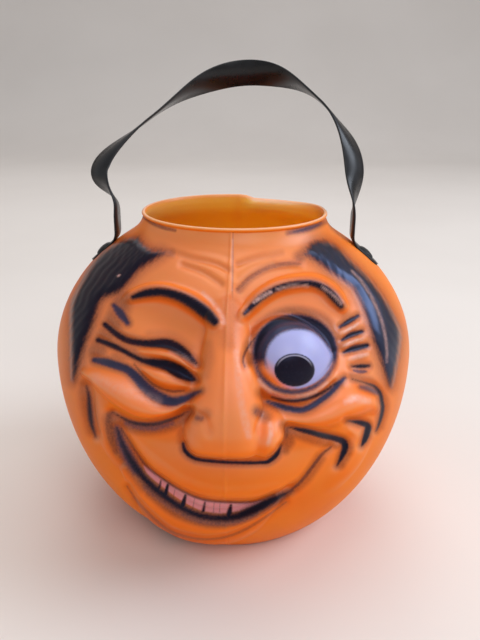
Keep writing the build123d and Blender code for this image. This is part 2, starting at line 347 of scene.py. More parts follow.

# Soft airbrushed haze, and painted shade in folds, beside the nose, on its bridge, under the rim and by the
# seam: stroke, how far it fades, strength
shades = [
    ([(122, 298, 4), (114, 322, 4), (96, 352, 3)], 13, 0.55),
    ([(150, 252, 3), (161, 252.5, 2), (171, 253, 0.5)], 8, 0.6),
    ([(300, 257, 2), (314, 250, 3), (330, 262, 3)], 9, 0.6),
    # Painted shade on the nose's bridge, between the brows
    ([(231, 302, 2), (230, 322, 4), (229, 342, 2)], 13, 0.3),
    ([(207, 345, 1), (208, 358, 2), (205, 374, 1)], 9, 0.22),
    ([(150, 335, 1), (170, 337, 2), (190, 348, 1)], 8, 0.22),
    ([(112, 333, 3), (130, 350, 4), (118, 356, 3)], 9, 0.4),
    # Painted shade along the crease under the left cheek roll
    ([(112, 418, 2), (140, 427, 3), (170, 424, 3), (190, 412, 2)], 9, 0.55),
    # Painted shade beside the nose and its wings, on this line and the next three
    ([(186, 414, 1), (181, 426, 1), (181, 442, 1)], 6, 0.3),
    ([(197, 417, 2), (206, 414, 1)], 9, 0.35),
    ([(258, 411, 2), (266, 417, 1)], 9, 0.55),
    ([(283, 424, 1), (290, 438, 2), (285, 450, 1)], 7, 0.55),
    ([(262, 393, 2), (285, 401, 3), (312, 398, 3), (336, 384, 2)], 9, 0.45),
    ([(249, 362, 1), (250, 345, 2), (264, 324, 2), (290, 312, 2), (322, 319, 2), (342, 345, 2)], 8, 0.5),
    ([(110, 420, 2), (117, 441, 4), (129, 460, 4), (146, 484, 3)], 11, 0.6),
    ([(150, 492, 2), (178, 512, 3), (216, 522, 3), (250, 515, 2), (280, 500, 1)], 7, 0.6),
    ([(288, 233, 0.3), (300, 230.5, 1), (313, 227, 1), (325, 222, 0.3)], 4.5, 0.6),
    # Painted shadow under the rim's bead, on the left
    ([(143.5, 216.5, 0.4), (152, 222.8, 0.8), (163, 227.5, 0.8), (175, 230.5, 0.4)], 2.2, 0.75),
    # Painted shade beside the mould seam
    ([(233, 233, 0.2), (232.8, 262, 0.4), (232.4, 300, 0.2)], 1.2, 0.4),
    # Painted shade in the forehead folds, on this line and the next two
    ([(172, 251, 1), (191, 257.5, 1), (215, 263, 1), (229, 270, 1)], 5, 0.16),
    ([(182, 264, 1), (203, 272, 1), (221, 283.5, 1)], 5, 0.16),
    ([(238, 264, 1), (256, 257.5, 1), (281, 252.5, 1)], 5, 0.16),
    ([(239, 290, 1), (251, 277.5, 1), (270, 267.5, 1), (296, 263.5, 1)], 6, 0.45),
    ([(84, 384, 1), (88, 405, 3), (93, 430, 2)], 10, 0.5),
    ([(347, 318, 2), (356, 336, 3), (360, 358, 2)], 9, 0.35),
    ([(352, 376, 1), (372, 384, 2), (384, 402, 2), (380, 426, 1)], 7, 0.45),
    ([(292, 432, 2), (320, 441, 2), (346, 446, 3), (340, 464, 2)], 7, 0.5),
    ([(290, 492, 1), (306, 478, 2), (320, 458, 2)], 7, 0.45),
    ([(134, 498, 0.5), (152, 517.5, 1), (176, 535, 0.5)], 5, 0.3),
]

# Shade round each mark and round the hair: how far it fades, strength
mark_halo = (6.0, 0.5)
hair_halo = (13.0, 0.55)
widest_stroke = 6.0

# Pale rubbed places, and painted highlights on the ridges of the brow, hair and lids, down the nose and on
# the cheeks: stroke, how far it fades, strength
scuffs_and_highlights = [
    ([(254, 302, 0.8), (262, 296.5, 1.2), (271, 292, 0.8)], 2, 0.7),
    ([(276, 289.5, 0.5), (292, 286, 0.9), (308, 286, 0.5)], 1.8, 0.5),
    ([(322, 287, 0.4), (333, 295, 0.8), (341, 304, 0.8)], 1.8, 0.6),
    # Painted highlight along the left brow's ridge
    ([(203, 293, 0.5), (214, 304, 1), (221, 315, 0.8), (224, 323, 0.5)], 3, 0.5),
    # Painted glint along the ridge of the right hair
    ([
        (352, 271, 0.4), (362, 282, 0.8), (373, 300, 0.9), (382, 322, 0.9), (386.5, 345, 0.7),
        (387, 362, 0.4),
    ], 1.8, 0.4),
    ([(341, 333, 0.5), (350, 328.5, 0.9), (358, 324, 0.5)], 2, 0.55),
    ([(344, 346, 0.5), (353, 342, 0.9), (363, 339, 0.5)], 2, 0.55),
    ([(349, 359.5, 0.5), (358, 357, 0.9), (368, 354, 0.5)], 2, 0.55),
    # Painted highlight on the ridge of the right lower lid
    ([
        (259, 380, 0.6), (268, 390, 1), (281, 396, 1), (297, 397, 1), (313, 393, 0.8), (327, 383, 0.4),
    ], 2.5, 0.45),
    ([(232.6, 240, 0.5), (232, 262, 0.8), (231.8, 290, 0.5)], 1.6, 0.35),
    # Painted highlights down the nose and on its right wing, on this line and the next
    ([(235.5, 352, 0.4), (238.5, 380, 0.8), (242, 405, 1.2), (246, 424, 1.5), (249, 436, 0.8)], 4.5, 0.4),
    ([(270, 424, 0.8), (271, 434, 1.2), (268, 444, 0.6)], 3, 0.55),
    # Painted highlight on the top of the right cheek
    ([(346, 402, 1), (357, 398.5, 2), (368, 401, 1)], 4, 0.5),
    # Painted highlight on the left cheek roll
    ([(95, 377, 1), (115, 386, 2), (136, 394, 2), (156, 402, 1)], 9, 0.3),
    ([(118, 276, 0.4), (119.5, 275, 0.4)], 1.4, 0.8),
    ([(170, 352, 0.5), (183, 357, 1), (195, 366, 0.8)], 2.5, 0.35),
]

# Folds with no paint in them: stroke, rise
bare_folds = [
    ([(172, 250.8, 3), (191, 257.5, 3), (215, 263, 3), (229, 270, 2)], -1.2),
    ([(182, 264, 2.5), (203, 272, 3), (221, 283.5, 2.5)], -1.2),
    ([(191, 247, 3), (215, 252, 3), (230, 257, 3)], -0.9),
    ([(237.5, 263.5, 3), (256, 257.5, 3), (281, 252.5, 2)], -1.2),
    ([(238, 277, 2.5), (252, 267, 3), (272, 260, 2.5)], -0.9),
    ([(343, 333, 2.5), (355, 327.5, 2.5)], 0.8),
    ([(344, 346, 2.5), (358, 340, 2.5)], 0.8),
    ([(349, 358, 2.5), (366, 355.5, 2.5)], 0.8),
    ([(197, 414, 3), (205, 419, 3), (209, 432, 2.5)], -1.3),
    ([(273, 413, 3), (262, 418, 3), (257, 433, 2.5)], -1.3),
]

# Outlines of what is sprayed or painted all over
left_hair = [
    (138, 237), (144, 245), (152, 250.5), (164, 252.5), (154, 260), (139, 270), (128, 283), (118.5, 292),
    (105, 297), (99, 304), (94, 320), (87, 338), (81, 356), (76.5, 373), (73.5, 381), (72, 372), (71, 344),
    (71.5, 308), (77, 292), (88, 271), (100, 255.5), (112, 246), (124.5, 240),
]
right_hair = [
    (305, 254), (312, 243), (324.5, 241), (337, 247.5), (349.5, 260), (362, 272), (374, 285), (386.5, 303),
    (395, 319.5), (400, 334), (398.5, 353), (395, 372), (390.5, 387), (385.5, 375.5), (380.5, 359),
    (374, 341), (369, 324.5), (363, 307), (357, 295), (352, 287), (344.5, 281.5), (331, 272),
    (318.5, 262.5),
]
eye_white = [
    (264, 360), (266, 349), (271, 340), (278, 333.5), (287, 329.5), (299, 328), (311, 330), (320, 336),
    (327, 344), (333, 354), (331, 365), (324, 376), (313, 384), (298, 389), (283, 387.5), (270, 380),
]
teeth = [
    (143, 464.5), (150, 469.5), (163, 479.5), (182, 491.5), (203, 500), (225, 502.5), (250, 502.5),
    (262, 500.5), (256, 504.5), (247, 508), (236, 511.5), (218, 513.5), (200, 510), (184, 502),
    (170, 492.5), (157, 482.5), (147, 473.5),
]
mouth_opening = [
    (128, 446), (140, 459), (150, 469.5), (163, 479.5), (182, 491.5), (203, 500), (225, 502.5),
    (254, 502.5), (276, 497), (288, 493), (268, 507), (253, 514), (237, 519), (218, 520), (197, 517),
    (178, 508), (162, 496), (148, 484), (136, 470),
]

# Each patch of hair and the way that its strands lie
hair = [(left_hair, (-0.546, 0.838)), (right_hair, (0.495, 0.869))]
hair_rise = 1.8
hair_softness = 8.0
strand_rise = 0.22
strand_wander = 0.9
mouth_depth = 2.6
tooth_rise = 1.2
pupil_rise = 0.5

# Softness of painted edges, growth and lower end of the lid's grey, which is a painted sheen, and where the
# white stops in the corner
pupil_edge = 1.6
white_edge = 2.5
tooth_edge = 1.5
lid_sheen_edge = 5.0
lid_sheen_growth = 1.5
lid_sheen_end = (8.0, 3.0)
white_corner = (98.0, 22.0)

# Fields of paint, painted shade and painted highlights, and their values where the face is bare
paints = {
    "black": -3.0, "grey": -3.0, "white": -3.0, "tooth": -3.0, "shade": 0.0, "pupil": -9.0, "above": -1.0,
    "tress": 0.0, "scuff_and_highlight": 0.0,
}

# Colours of the plastic, its wear and its paint, and of the painted shade, sheen, highlights and glow laid
# on it
deep_orange = (0.90, 0.165, 0.012, 1)
bright_orange = (0.95, 0.195, 0.016, 1)
# Lighter orange where the plastic faces up and to the front: partly sun fading, partly painted sheen
fading_and_sheen_orange = (0.82, 0.30, 0.118, 1)
worn_orange = (0.88, 0.34, 0.15, 1)
# Painted shade: darker orange laid in the creases
crease_shade_orange = (0.50, 0.075, 0.008, 1)
# Painted glow: the inside is lighter and yellower than the outside, standing in for light through the wall
inner_glow_orange = (1.0, 0.32, 0.085, 1)
# Painted highlight: paler orange on the up-facing top of the rim
rim_highlight_orange = (0.90, 0.38, 0.22, 1)
# Brown of the airbrushed haze, also laid as painted shade in folds and hollows
airbrush_and_shade_brown = (0.060, 0.020, 0.016, 1)
tooth_pink = (0.72, 0.27, 0.28, 1)
# White of the eye, darkened and blued as a painted sky reflection and shade
eye_lilac_sheen_and_shade = (0.38, 0.39, 0.68, 1)
# Blue-grey spray paint, also laid as a painted sheen on the eye's lid
grey_spray_and_lid_sheen = (0.038, 0.037, 0.072, 1)
spray_black = (0.010, 0.006, 0.010, 1)
# Pale pink of rubbed places and of painted highlights
scuff_and_highlight_pink = (0.74, 0.44, 0.38, 1)
# Painted glint: a pale line inside the top of the pupil
pupil_glint_grey = (0.36, 0.34, 0.44, 1)
plain_sheen = (1, 1, 1, 1)
paint_sheen = (0.36, 0.52, 1.0, 1)
strap_black = (0.005, 0.005, 0.006, 1)
strap_rubbed = (0.011, 0.011, 0.014, 1)
floor_dull = (0.76, 0.70, 0.65, 1)
floor_pale = (0.79, 0.73, 0.68, 1)

# How far light soaks into the plastic, for red, green and blue, in metres times the scale
soak_radius = (1.0, 0.65, 0.3)
soak_scale = 0.012

# Floor, and the backdrop that it curves up into
floor_half = 4500.0
floor_front = 3000.0
floor_back = 1600.0
backdrop_bend = 800.0
backdrop_height = 3000.0

# Lamps, in metres and watts: name, place, size, power, colour
warm_white = (1.0, 0.98, 0.97)
cool_white = (0.80, 0.88, 1.0)
lamps = [
    ("overhead", (0.1, 0.2, 1.5), 1.2, 6.5, warm_white),
    ("front_sky", (0.4, -1.2, 1.1), 0.9, 6.0, warm_white),
    ("back_sky", (-0.2, 1.3, 1.3), 1.0, 4.0, warm_white),
    ("right_window", (1.35, -0.05, 1.05), 1.0, 14.0, cool_white),
]
lamp_target = Vector((0, 0, 0.1))
world_colour = (0.85, 0.87, 0.90, 1)
world_strength = 0.52


def steps_between(low, high, value):
    """Smooth step from 0 at low to 1 at high."""
    part = np.clip((value - low) / (high - low), 0, 1)
    return part * part * (3 - 2 * part)


def unit(vectors):
    """Vectors of length 1."""
    return vectors / np.maximum(np.linalg.norm(vectors, axis=-1, keepdims=True), tiny)


def smooth_line(points, per_span=8):
    """Points along a smooth line through the given points."""
    points = np.array(points, float)
    padded = np.vstack([2 * points[0] - points[1], points, 2 * points[-1] - points[-2]])
    line = []
    for a, b, c, d in zip(padded, padded[1:], padded[2:], padded[3:]):
        for t in np.linspace(0, 1, per_span, endpoint=False):
            bend = (2 * a - 5 * b + 4 * c - d) * t**2 + (3 * b - a - 3 * c + d) * t**3
            line.append(0.5 * (2 * b + (c - a) * t + bend))
    line.append(points[-1])
    return np.array(line)


def length_along(line):
    """Length of a line from its start to each of its points."""
    return np.concatenate([[0], np.cumsum(np.linalg.norm(np.diff(line, axis=0), axis=1))])


def put(name, data):
    """Puts a new object into the scene."""
    item = bpy.data.objects.new(name, data)
    bpy.context.scene.collection.objects.link(item)
    return item


def make_camera():
    """Sets up the camera. Gives its axes."""
    data = bpy.data.cameras.new("camera")
    data.lens = focal_pixels / photo_height * data.sensor_width
    camera = put("camera", data)
    turn = Matrix.Rotation(radians(camera_turn), 4, "Z")
    down = Matrix.Rotation(radians(90 - camera_down), 4, "X")
    roll = Matrix.Rotation(radians(camera_roll), 4, "Z")
    camera.matrix_world = Matrix.Translation(Vector(camera_place) * mm) @ turn @ down @ roll
    bpy.context.scene.camera = camera
    return np.array((turn @ down @ roll).to_3x3())


view_axes = make_camera()


def to_pixels(points):
    """Where points on the object lie in the photograph."""
    local = (points - np.array(camera_place)) @ view_axes
    across = photo_width / 2 - focal_pixels * local[..., 0] / local[..., 2]
    down = photo_height / 2 + focal_pixels * local[..., 1] / local[..., 2]
    return np.stack([across, down], -1)


def seen_at(pixel, rise):
    """Point of the globe that a pixel shows, found on the globe grown by rise."""
    x = (pixel[0] - photo_width / 2) / focal_pixels
    y = (photo_height / 2 - pixel[1]) / focal_pixels
    start = np.array(camera_place) - (0, 0, belly_height)
    along = view_axes @ np.array((x, y, -1.0))
    for half in (upper_rise, lower_drop):
        scale = 1 / np.array((belly_radius + rise, belly_radius + rise, half + rise))
        a = np.sum((along * scale) ** 2)
        b = np.sum(along * start * scale**2)
        c = np.sum((start * scale) ** 2) - 1
        point = start + along * (-b - sqrt(max(b * b - a * c, 0))) / a
        if (point[2] >= 0) == (half == upper_rise):
            break
    return unit(point * scale) * (belly_radius, belly_radius, half) + (0, 0, belly_height)


def globe_normal(points):
    """Outward direction of the smooth globe at points on it."""
    lifted = points - np.array((0, 0, belly_height))
    half = np.where(lifted[..., 2:] < 0, lower_drop, upper_rise)
    belly = np.full_like(half, belly_radius)
    return unit(lifted / np.concatenate([belly, belly, half], -1) ** 2)


def lump(points, pixel, rise, length, width, tilt=0.0, power=1.8):
    """Rise of an oval swelling, or of a hollow, at points of the globe."""
    middle = seen_at(pixel, max(rise, 0))
    normal = globe_normal(middle)
    side = unit(np.cross((0, 0, 1), normal))
    up = np.cross(normal, side)
    offset = points - middle
    u, v = offset @ side, offset @ up
    along = u * cos(radians(tilt)) + v * sin(radians(tilt))
    across = v * cos(radians(tilt)) - u * sin(radians(tilt))
    inside = np.clip(1 - (along / length) ** 2 - (across / width) ** 2, 0, None)
    return np.where(offset @ normal > -belly_radius / 2, rise * inside**power, 0)


def greater(a, b, soft):
    """The greater of two rises, with a soft valley between. Where b is nothing, a stays."""
    near = np.clip(soft - np.abs(a - b), 0, None)
    met = np.maximum(a, b) + near**2 / (4 * soft)
    return a + (met - a) * steps_between(0, soft, b)


def nose_form(points):
    """Rise of the nose: a bridge that widens to a blunt end."""
    heights = np.linspace(nose_heights[0], nose_heights[-1], 120)
    kernel = np.hanning(7) / np.hanning(7).sum()

    def by_height(values):
        return np.convolve(np.pad(np.interp(heights, nose_heights, values), 3, "edge"), kernel, "valid")

    rise = np.interp(points[..., 2], heights, by_height(nose_rises), left=0, right=0)
    half = np.interp(points[..., 2], heights, by_height(nose_halves))
    blunt = steps_between(nose_slim_height, nose_blunt_height, points[..., 2])
    square = np.interp(blunt, (0, 1), nose_squareness)
    sharp = np.interp(blunt, (0, 1), nose_sharpness)
    share = np.clip(1 - np.abs(points[..., 0] / half) ** square, 0, None)
    return np.where(points[..., 1] < 0, rise * share**sharp, 0)


def face_form(points):
    """Rise of the broad forms of the face above the smooth globe."""
    form = np.zeros(points.shape[:-1])
    for pixel, rise, length, width, tilt in broad_forms.values():
        form += lump(points, pixel, rise, length, width, tilt)
    form = greater(form, lump(points, eye_ball_middle, eye_rise, *eye_ball_half, power=1.0), eye_valley)
    wings = sum(lump(points, pixel, nose_wing_rise, *nose_wing_half, power=0.9) for pixel in nose_wings)
    return greater(form, greater(nose_form(points), wings, wing_valley), nose_valley)


def away_from_run(pixels, a, b):
    """Distance of each pixel from the run from a to b, and the share of the run there."""
    run = b - a
    part = np.clip((pixels - a) @ run / max(run @ run, tiny), 0, 1)
    return np.linalg.norm(pixels - a - part[:, None] * run, axis=1), part


def near_line(pixels, line, reach):
    """Which pixels lie within reach of a line's box."""
    low = line[:, :2].min(0) - reach
    high = line[:, :2].max(0) + reach
    return np.all((pixels > low) & (pixels < high), axis=1)


def runs_of(line, pixels):
    """For each run of a line, each pixel's distance from it and the half width there."""
    for a, b in zip(line, line[1:]):
        away, part = away_from_run(pixels, a[:2], b[:2])
        yield away, a[2] + part * (b[2] - a[2])


def roll_form(pixels):
    """Rise of the rolls of flesh at each pixel of the face."""
    form = np.zeros(len(pixels))
    for points, rise in rolls.values():
        line = smooth_line(points)
        widest = line[:, 2].max()
        near = near_line(pixels, line, widest)
        share = np.zeros(near.sum())
        for away, half in runs_of(line, pixels[near]):
            share = np.maximum(share, (1 - (away / half) ** 2) * (half / widest) ** roll_taper)
        form[near] += rise * share**roll_power
    return form


def margin_of_line(pixels, points, reach):
    """How far inside a stroke each pixel is, and how far from its middle."""
    line = smooth_line(points)
    near = near_line(pixels, line, reach)
    margin = np.full(len(pixels), -far)
    distance = np.full(len(pixels), far)
    best = margin[near]
    closest = distance[near]
    for away, half in runs_of(line, pixels[near]):
        best = np.maximum(best, half - away)
        closest = np.minimum(closest, away)
    margin[near] = best
    distance[near] = closest
    return margin, distance


def margin_of_outline(pixels, outline):
    """How far inside an outline each pixel is, less than nothing outside it."""
    corners = smooth_line(outline + outline[:1], per_span=4)
    distance = np.full(len(pixels), far)
    inside = np.zeros(len(pixels), bool)
    for a, b in zip(corners, corners[1:]):
        distance = np.minimum(distance, away_from_run(pixels, a, b)[0])
        crosses = (a[1] > pixels[:, 1]) != (b[1] > pixels[:, 1])
        level = a[0] + (pixels[:, 1] - a[1]) * (b[0] - a[0]) / ((b[1] - a[1]) or tiny)
        inside ^= crosses & (pixels[:, 0] < level)
    return np.where(inside, distance, -distance)


def margin_of_oval(pixels, middle, half):
    """How far inside an upright oval each pixel is, roughly."""
    share = np.linalg.norm((pixels - np.array(middle)) / np.array(half), axis=1)
    return (1 - share) * min(half)


def spray(field, margin, soft, strength=1.0):
    """Adds a mark to a paint field, in which -0.5 is bare and 0.5 is fully covered."""
    return np.maximum(field, np.minimum(margin / soft, strength - 0.5))


def strands(pixels, grain):
    """Uneven stripes along the lie of the hair, from -1 to 1."""
    along = pixels @ np.array(grain)
    across = pixels @ np.array((grain[1], -grain[0]))
    wander = 1.6 * np.sin(0.11 * along) + 0.9 * np.sin(0.23 * along + 0.08 * across)
    return 0.6 * np.sin(1.05 * across + wander) + 0.4 * np.sin(1.9 * across - 1.4 * wander + 1.0)


def ridge(pixels, points, height, reach):
    """Rise of a crease or a ridge that dies away on both sides."""
    _, distance = margin_of_line(pixels, points, 3 * reach)
    return height * np.exp(-((distance / reach) ** 2))


def fine_relief(pixels):
    """Rise of the creases, folds and raised patches at each pixel."""
    rise = np.zeros(len(pixels))
    for points, _, _, height, reach in all_marks:
        if height:
            rise += ridge(pixels, points, crease_share * height, reach)
    for points, height in bare_folds:
        rise += ridge(pixels, points, height, max(point[2] for point in points))
    for outline, grain in hair:
        margin = margin_of_outline(pixels, outline)
        rise += hair_rise * steps_between(-3, 6, margin)
        rise += strand_rise * strands(pixels, grain) * steps_between(-4, 4, margin)
    rise -= mouth_depth * steps_between(-2, 3, margin_of_outline(pixels, mouth_opening))
    rise += tooth_rise * steps_between(-1, 2, margin_of_outline(pixels, teeth))
    rise += pupil_rise * steps_between(-2, 3, margin_of_oval(pixels, pupil_middle, pupil_half))
    return rise


def soft_field(pixels, strokes, full):
    """Share of soft strokes at each pixel."""
    share = np.zeros(len(pixels))
    for points, fade, strength in strokes:
        margin, _ = margin_of_line(pixels, points, fade + widest_stroke)
        share = np.maximum(share, strength * steps_between(-fade, full, margin))
    return share


def shade_field(pixels):
    """Share of airbrushed haze and painted shade at each pixel, also round marks and hair."""
    fade, strongest = mark_halo
    halos = [(points, fade, strongest * strength) for points, _, strength, _, _ in all_marks]
    shade = soft_field(pixels, shades + halos, 0)
    fade, strongest = hair_halo
    for outline, _ in hair:
        halo = strongest * steps_between(-fade, 2, margin_of_outline(pixels, outline))
        shade = np.maximum(shade, halo)
    return shade


def mark_field(pixels, marks, bare):
    """Field of the paint that a set of marks lays."""
    field = np.full(len(pixels), bare)
    for points, soft, strength, _, reach in marks.values():
        margin, _ = margin_of_line(pixels, points, 4 * reach)
        field = spray(field, margin, edge_softness * soft, strength)
    return field


def paint_fields(pixels):
    """What lies on the face at each pixel, one field for each name in paints."""
    black = mark_field(pixels, dark_marks, paints["black"])
    for outline, grain in hair:
        ragged = margin_of_outline(pixels, outline) + strand_wander * strands(pixels, grain)
        black = spray(black, ragged, hair_softness)
    pupil = margin_of_oval(pixels, pupil_middle, pupil_half)
    eye = margin_of_outline(pixels, eye_white)
    # The lid's grey band is a painted sheen on the black lid, and spreads as painted shade over the top of
    # the white
    lid = np.minimum(margin_of_oval(pixels, eye_middle, eye_half), -eye)
    lid = np.minimum(lid, (eye_middle[1] + lid_sheen_end[0] - pixels[:, 1]) / lid_sheen_end[1])
    corner = (pixels[:, 0] - pixels[:, 1] + white_corner[0]) / white_corner[1]
    return {
        "black": spray(black, pupil, pupil_edge),
        "grey": spray(mark_field(pixels, grey_marks, paints["grey"]), lid + lid_sheen_growth, lid_sheen_edge),
        "white": np.maximum(paints["white"], np.minimum(eye / white_edge, corner)),
        "tooth": spray(paints["tooth"], margin_of_outline(pixels, teeth), tooth_edge),
        "shade": shade_field(pixels) * (eye < 0),
        "pupil": np.clip(pupil, paints["pupil"], -paints["pupil"]),
        "above": (pupil_middle[1] - pixels[:, 1]) / pupil_half[1],
        "tress": steps_between(-2, 6, margin_of_outline(pixels, right_hair)),
        "scuff_and_highlight": soft_field(pixels, scuffs_and_highlights, 0.5),
    }


def outer_rows():
    """Radius and height of each row of the outside, evenly spaced from foot to neck."""
    steep = np.arctan2(lower_drop * foot_radius / belly_radius, belly_height / lower_drop * belly_radius)
    bend = np.linspace(0, steep, 8)
    inset = foot_radius - foot_corner_radius * tan(steep / 2)
    corner = foot_corner_radius * np.stack([np.sin(bend), 1 - np.cos(bend)], -1) + (inset, 0)
    low = np.arcsin((corner[-1, 1] - belly_height) / lower_drop)
    lifts = np.linspace(low, acos(neck_radius / belly_radius), 2000)[1:]
    half = np.where(lifts < 0, lower_drop, upper_rise)
    oval = np.stack([belly_radius * np.cos(lifts), belly_height + half * np.sin(lifts)], -1)
    line = np.vstack([corner, oval, (neck_radius, rim_height - 2 * rim_bead_radius)])
    length = length_along(line)
    even = np.linspace(0, length[-1], int(length[-1] / row_spacing))
    rows = np.stack([np.interp(even, length, line[:, 0]), np.interp(even, length, line[:, 1])], -1)
    top = np.argmax(rows[:, 1] > shoulder_top - neck_blend)
    for _ in range(neck_blend_passes):
        rows[top:-1] = (rows[top - 1:-2] + 2 * rows[top:-1] + rows[top + 1:]) / 4
    return rows


def flare(rings, turns):
    """Bends the rim outward and down at the far right."""
    turn = np.degrees(turns) % 360
    start, full, still, end = flare_turns
    share = steps_between(start, full, turn) * steps_between(end, still, turn)
    high = np.clip((rings[..., 2] - rim_height + flare_depth) / flare_depth, 0, 1) * share
    around = np.stack([np.sin(turns), -np.cos(turns)], -1)
    bent = rings.copy()
    bent[..., :2] += (flare_out * high)[..., None] * around
    bent[..., 2] -= flare_drop * high
    return bent


def grid_normals(grid):
    """Outward direction at each point of a grid of rings, from below upward."""
    up = np.gradient(grid, axis=0)
    around = np.roll(grid, -1, axis=1) - np.roll(grid, 1, axis=1)
    return unit(np.cross(around, up))


def join_neighbours(field, times, join):
    """Joins each place with its neighbours round the pail, then up and down."""
    for _ in range(times):
        field = join([field, np.roll(field, 1, 1), np.roll(field, -1, 1)])
        padded = np.pad(field, ((1, 1), (0, 0)), "edge")
        field = join([padded[:-2], padded[1:-1], padded[2:]])
    return field


def soften(field, times):
    return join_neighbours(field, times, lambda three: sum(three) / 3)


def thinnest(field, times):
    return join_neighbours(field, times, np.minimum.reduce)


def ring(radius, height, turns):
    """One level row of points."""
    return np.stack([radius * np.sin(turns), -radius * np.cos(turns), np.full(len(turns), height)], -1)


def in_sight(grid, turns):
    """Which points of a grid the photograph shows or nearly shows."""
    view = unit(np.array(camera_place) - grid)
    return (np.sum(grid_normals(grid) * view, -1) > least_facing) & (np.cos(turns) > least_forward)


def column_turns():
    """Turn of each column of the shell from the front."""
    edge = sin(radians(front_half_turn))
    front = np.degrees(np.arcsin(np.linspace(-edge, edge, front_columns)))
    back = np.linspace(front_half_turn, 360 - front_half_turn, back_columns + 2)[1:-1]
    back = np.sort(np.concatenate([back, 180 + np.array(seam_columns)]))
    return np.radians(np.concatenate([front, back]))


def where_seen(grid, facing, form):
    """A form given by pixels, as a field over the grid."""
    field = np.zeros(facing.shape)
    field[facing] = form(to_pixels(grid[facing]))
    return field


def raise_face(globe, turns):
    """The globe with its face, the broad and the fine rise, and which points are in sight."""
    outward = grid_normals(globe)
    height = globe[..., 2]
    keep = steps_between(0, face_over_foot, height)
    keep *= steps_between(0, face_under_neck, shoulder_top - height)
    broad = soften(face_form(globe) * keep, relief_passes)
    face = globe + outward * broad[..., None]
    broad += soften(where_seen(face, in_sight(face, turns), roll_form), relief_passes) * keep
    face = globe + outward * broad[..., None]
    facing = in_sight(face, turns)
    fine = soften(where_seen(face, facing, fine_relief), relief_passes) * keep
    fine += seam_rise * np.exp(-((globe[..., 0] / seam_half) ** 2)) * steps_between(*seam_start, height)
    return face + grid_normals(face) * fine[..., None], broad, fine, facing


def wrap(levels, count):
    """Points of each ring, the next points round, and the faces between rings."""
    index = np.arange(levels * count).reshape(levels, count)
    after = np.roll(index, -1, axis=1)
    quads = np.stack([index[:-1], after[:-1], after[1:], index[1:]], -1).reshape(-1, 4)
    return index.tolist(), after.tolist(), quads.tolist()


def make_mesh(name, points, faces):
    """A smooth mesh, from millimetres to metres."""
    mesh = bpy.data.meshes.new(name)
    mesh.from_pydata((points * mm).tolist(), [], faces)
    mesh.shade_smooth()
    return mesh


def keep_field(mesh, name, field, first=0, bare=0.0):
    """Keeps a field on a mesh, from the first point on, with the bare value elsewhere."""
    values = np.full(len(mesh.vertices), bare, np.float32)
    values[first:first + field.size] = field.ravel()
    mesh.attributes.new(name, "FLOAT", "POINT").data.foreach_set("value", values)


def keep_paint(mesh, skin, facing, first):
    """Keeps the fields of paint, painted shade and painted highlights on the outside."""
    for name, painted in paint_fields(to_pixels(skin[facing])).items():
        field = np.full(facing.shape, paints[name])
        field[facing] = painted
        keep_field(mesh, name, field, first, paints[name])


def shell_mesh():
    """The pail's wall: foot, globe with its face, neck, rim and inside, as one closed skin."""
    turns = column_turns()
    globe = np.stack([ring(radius, height, turns) for radius, height in outer_rows()])
    skin, broad, fine, facing = raise_face(globe, turns)
    inner_rise = soften(thinnest(broad + fine, thinning_passes), inner_passes)
    inside = (globe + grid_normals(globe) * (inner_rise - wall)[..., None])[::-inner_row_skip]
    foot = [ring(radius, 0, turns) for radius in foot_rings]
    floor = [ring(radius, wall, turns) for radius in reversed(foot_rings)]
    bead_height = rim_height - rim_bead_radius
    bead = [
        ring(neck_radius + rim_bead_radius * cos(a), bead_height + rim_bead_radius * sin(a), turns)
        for a in np.radians(rim_bead_turns)
    ]
    rings = flare(np.stack([*foot, *skin, *bead, *inside, *floor]), turns)
    levels, count = rings.shape[:2]
    index, after, faces = wrap(levels, count)
    foot_middle = levels * count
    floor_middle = foot_middle + 1
    points = np.vstack([rings.reshape(-1, 3), (0, 0, 0), (0, 0, wall)])
    faces += [(foot_middle, b, a) for a, b in zip(index[0], after[0])]
    faces += [(floor_middle, a, b) for a, b in zip(index[-1], after[-1])]
    mesh = make_mesh("pail", points, faces)

    outside = len(foot) * count
    rim = outside + skin[..., 0].size
    within = rim + len(bead) * count
    keep_paint(mesh, skin, facing, outside)
    keep_field(mesh, "hollow", fine - soften(fine, hollow_passes), outside)
    keep_field(mesh, "upward", grid_normals(rings)[..., 2])
    keep_field(mesh, "forward", -grid_normals(rings)[..., 1])
    keep_field(mesh, "inside", np.ones(len(points) - within), within)
    keep_field(mesh, "rim", points[rim:, 2] > rim_height - flare_depth, rim)
    return mesh


def strap_end():
    """Middle line of the strap's right end, the height of its top, and the hinge."""
    lift = radians(land_lift)
    normal = unit(np.array((cos(lift) / belly_radius, 0, sin(lift) / upper_rise)))
    slope = np.array((-normal[2], 0, normal[0]))
    shoulder = np.array((belly_radius * cos(lift), 0, belly_height + upper_rise * sin(lift)))
    seat = shoulder + normal * (strap_thickness / 2 + touch_gap - land_depth)
    corner = seat + slope * rivet_to_bend
    bend = acos(slope[2])
    reach = strap_bend_radius * tan(bend / 2)
    tab_top = corner[2] + reach + strap_thickness
    hinge = np.array((corner[0], 0, tab_top + strap_width / 2 + hinge_clearance))
    middle = corner + (strap_bend_radius, 0, reach)
    line = [seat + slope * d for d in np.linspace(-strap_tip, rivet_to_bend - reach, 12)]
    line += [middle - strap_bend_radius * np.array((cos(a), 0, sin(a))) for a in np.linspace(bend, 0, 7)[1:]]
    line.append(np.array((corner[0], 0, tab_top)))
    return np.array(line), tab_top, hinge


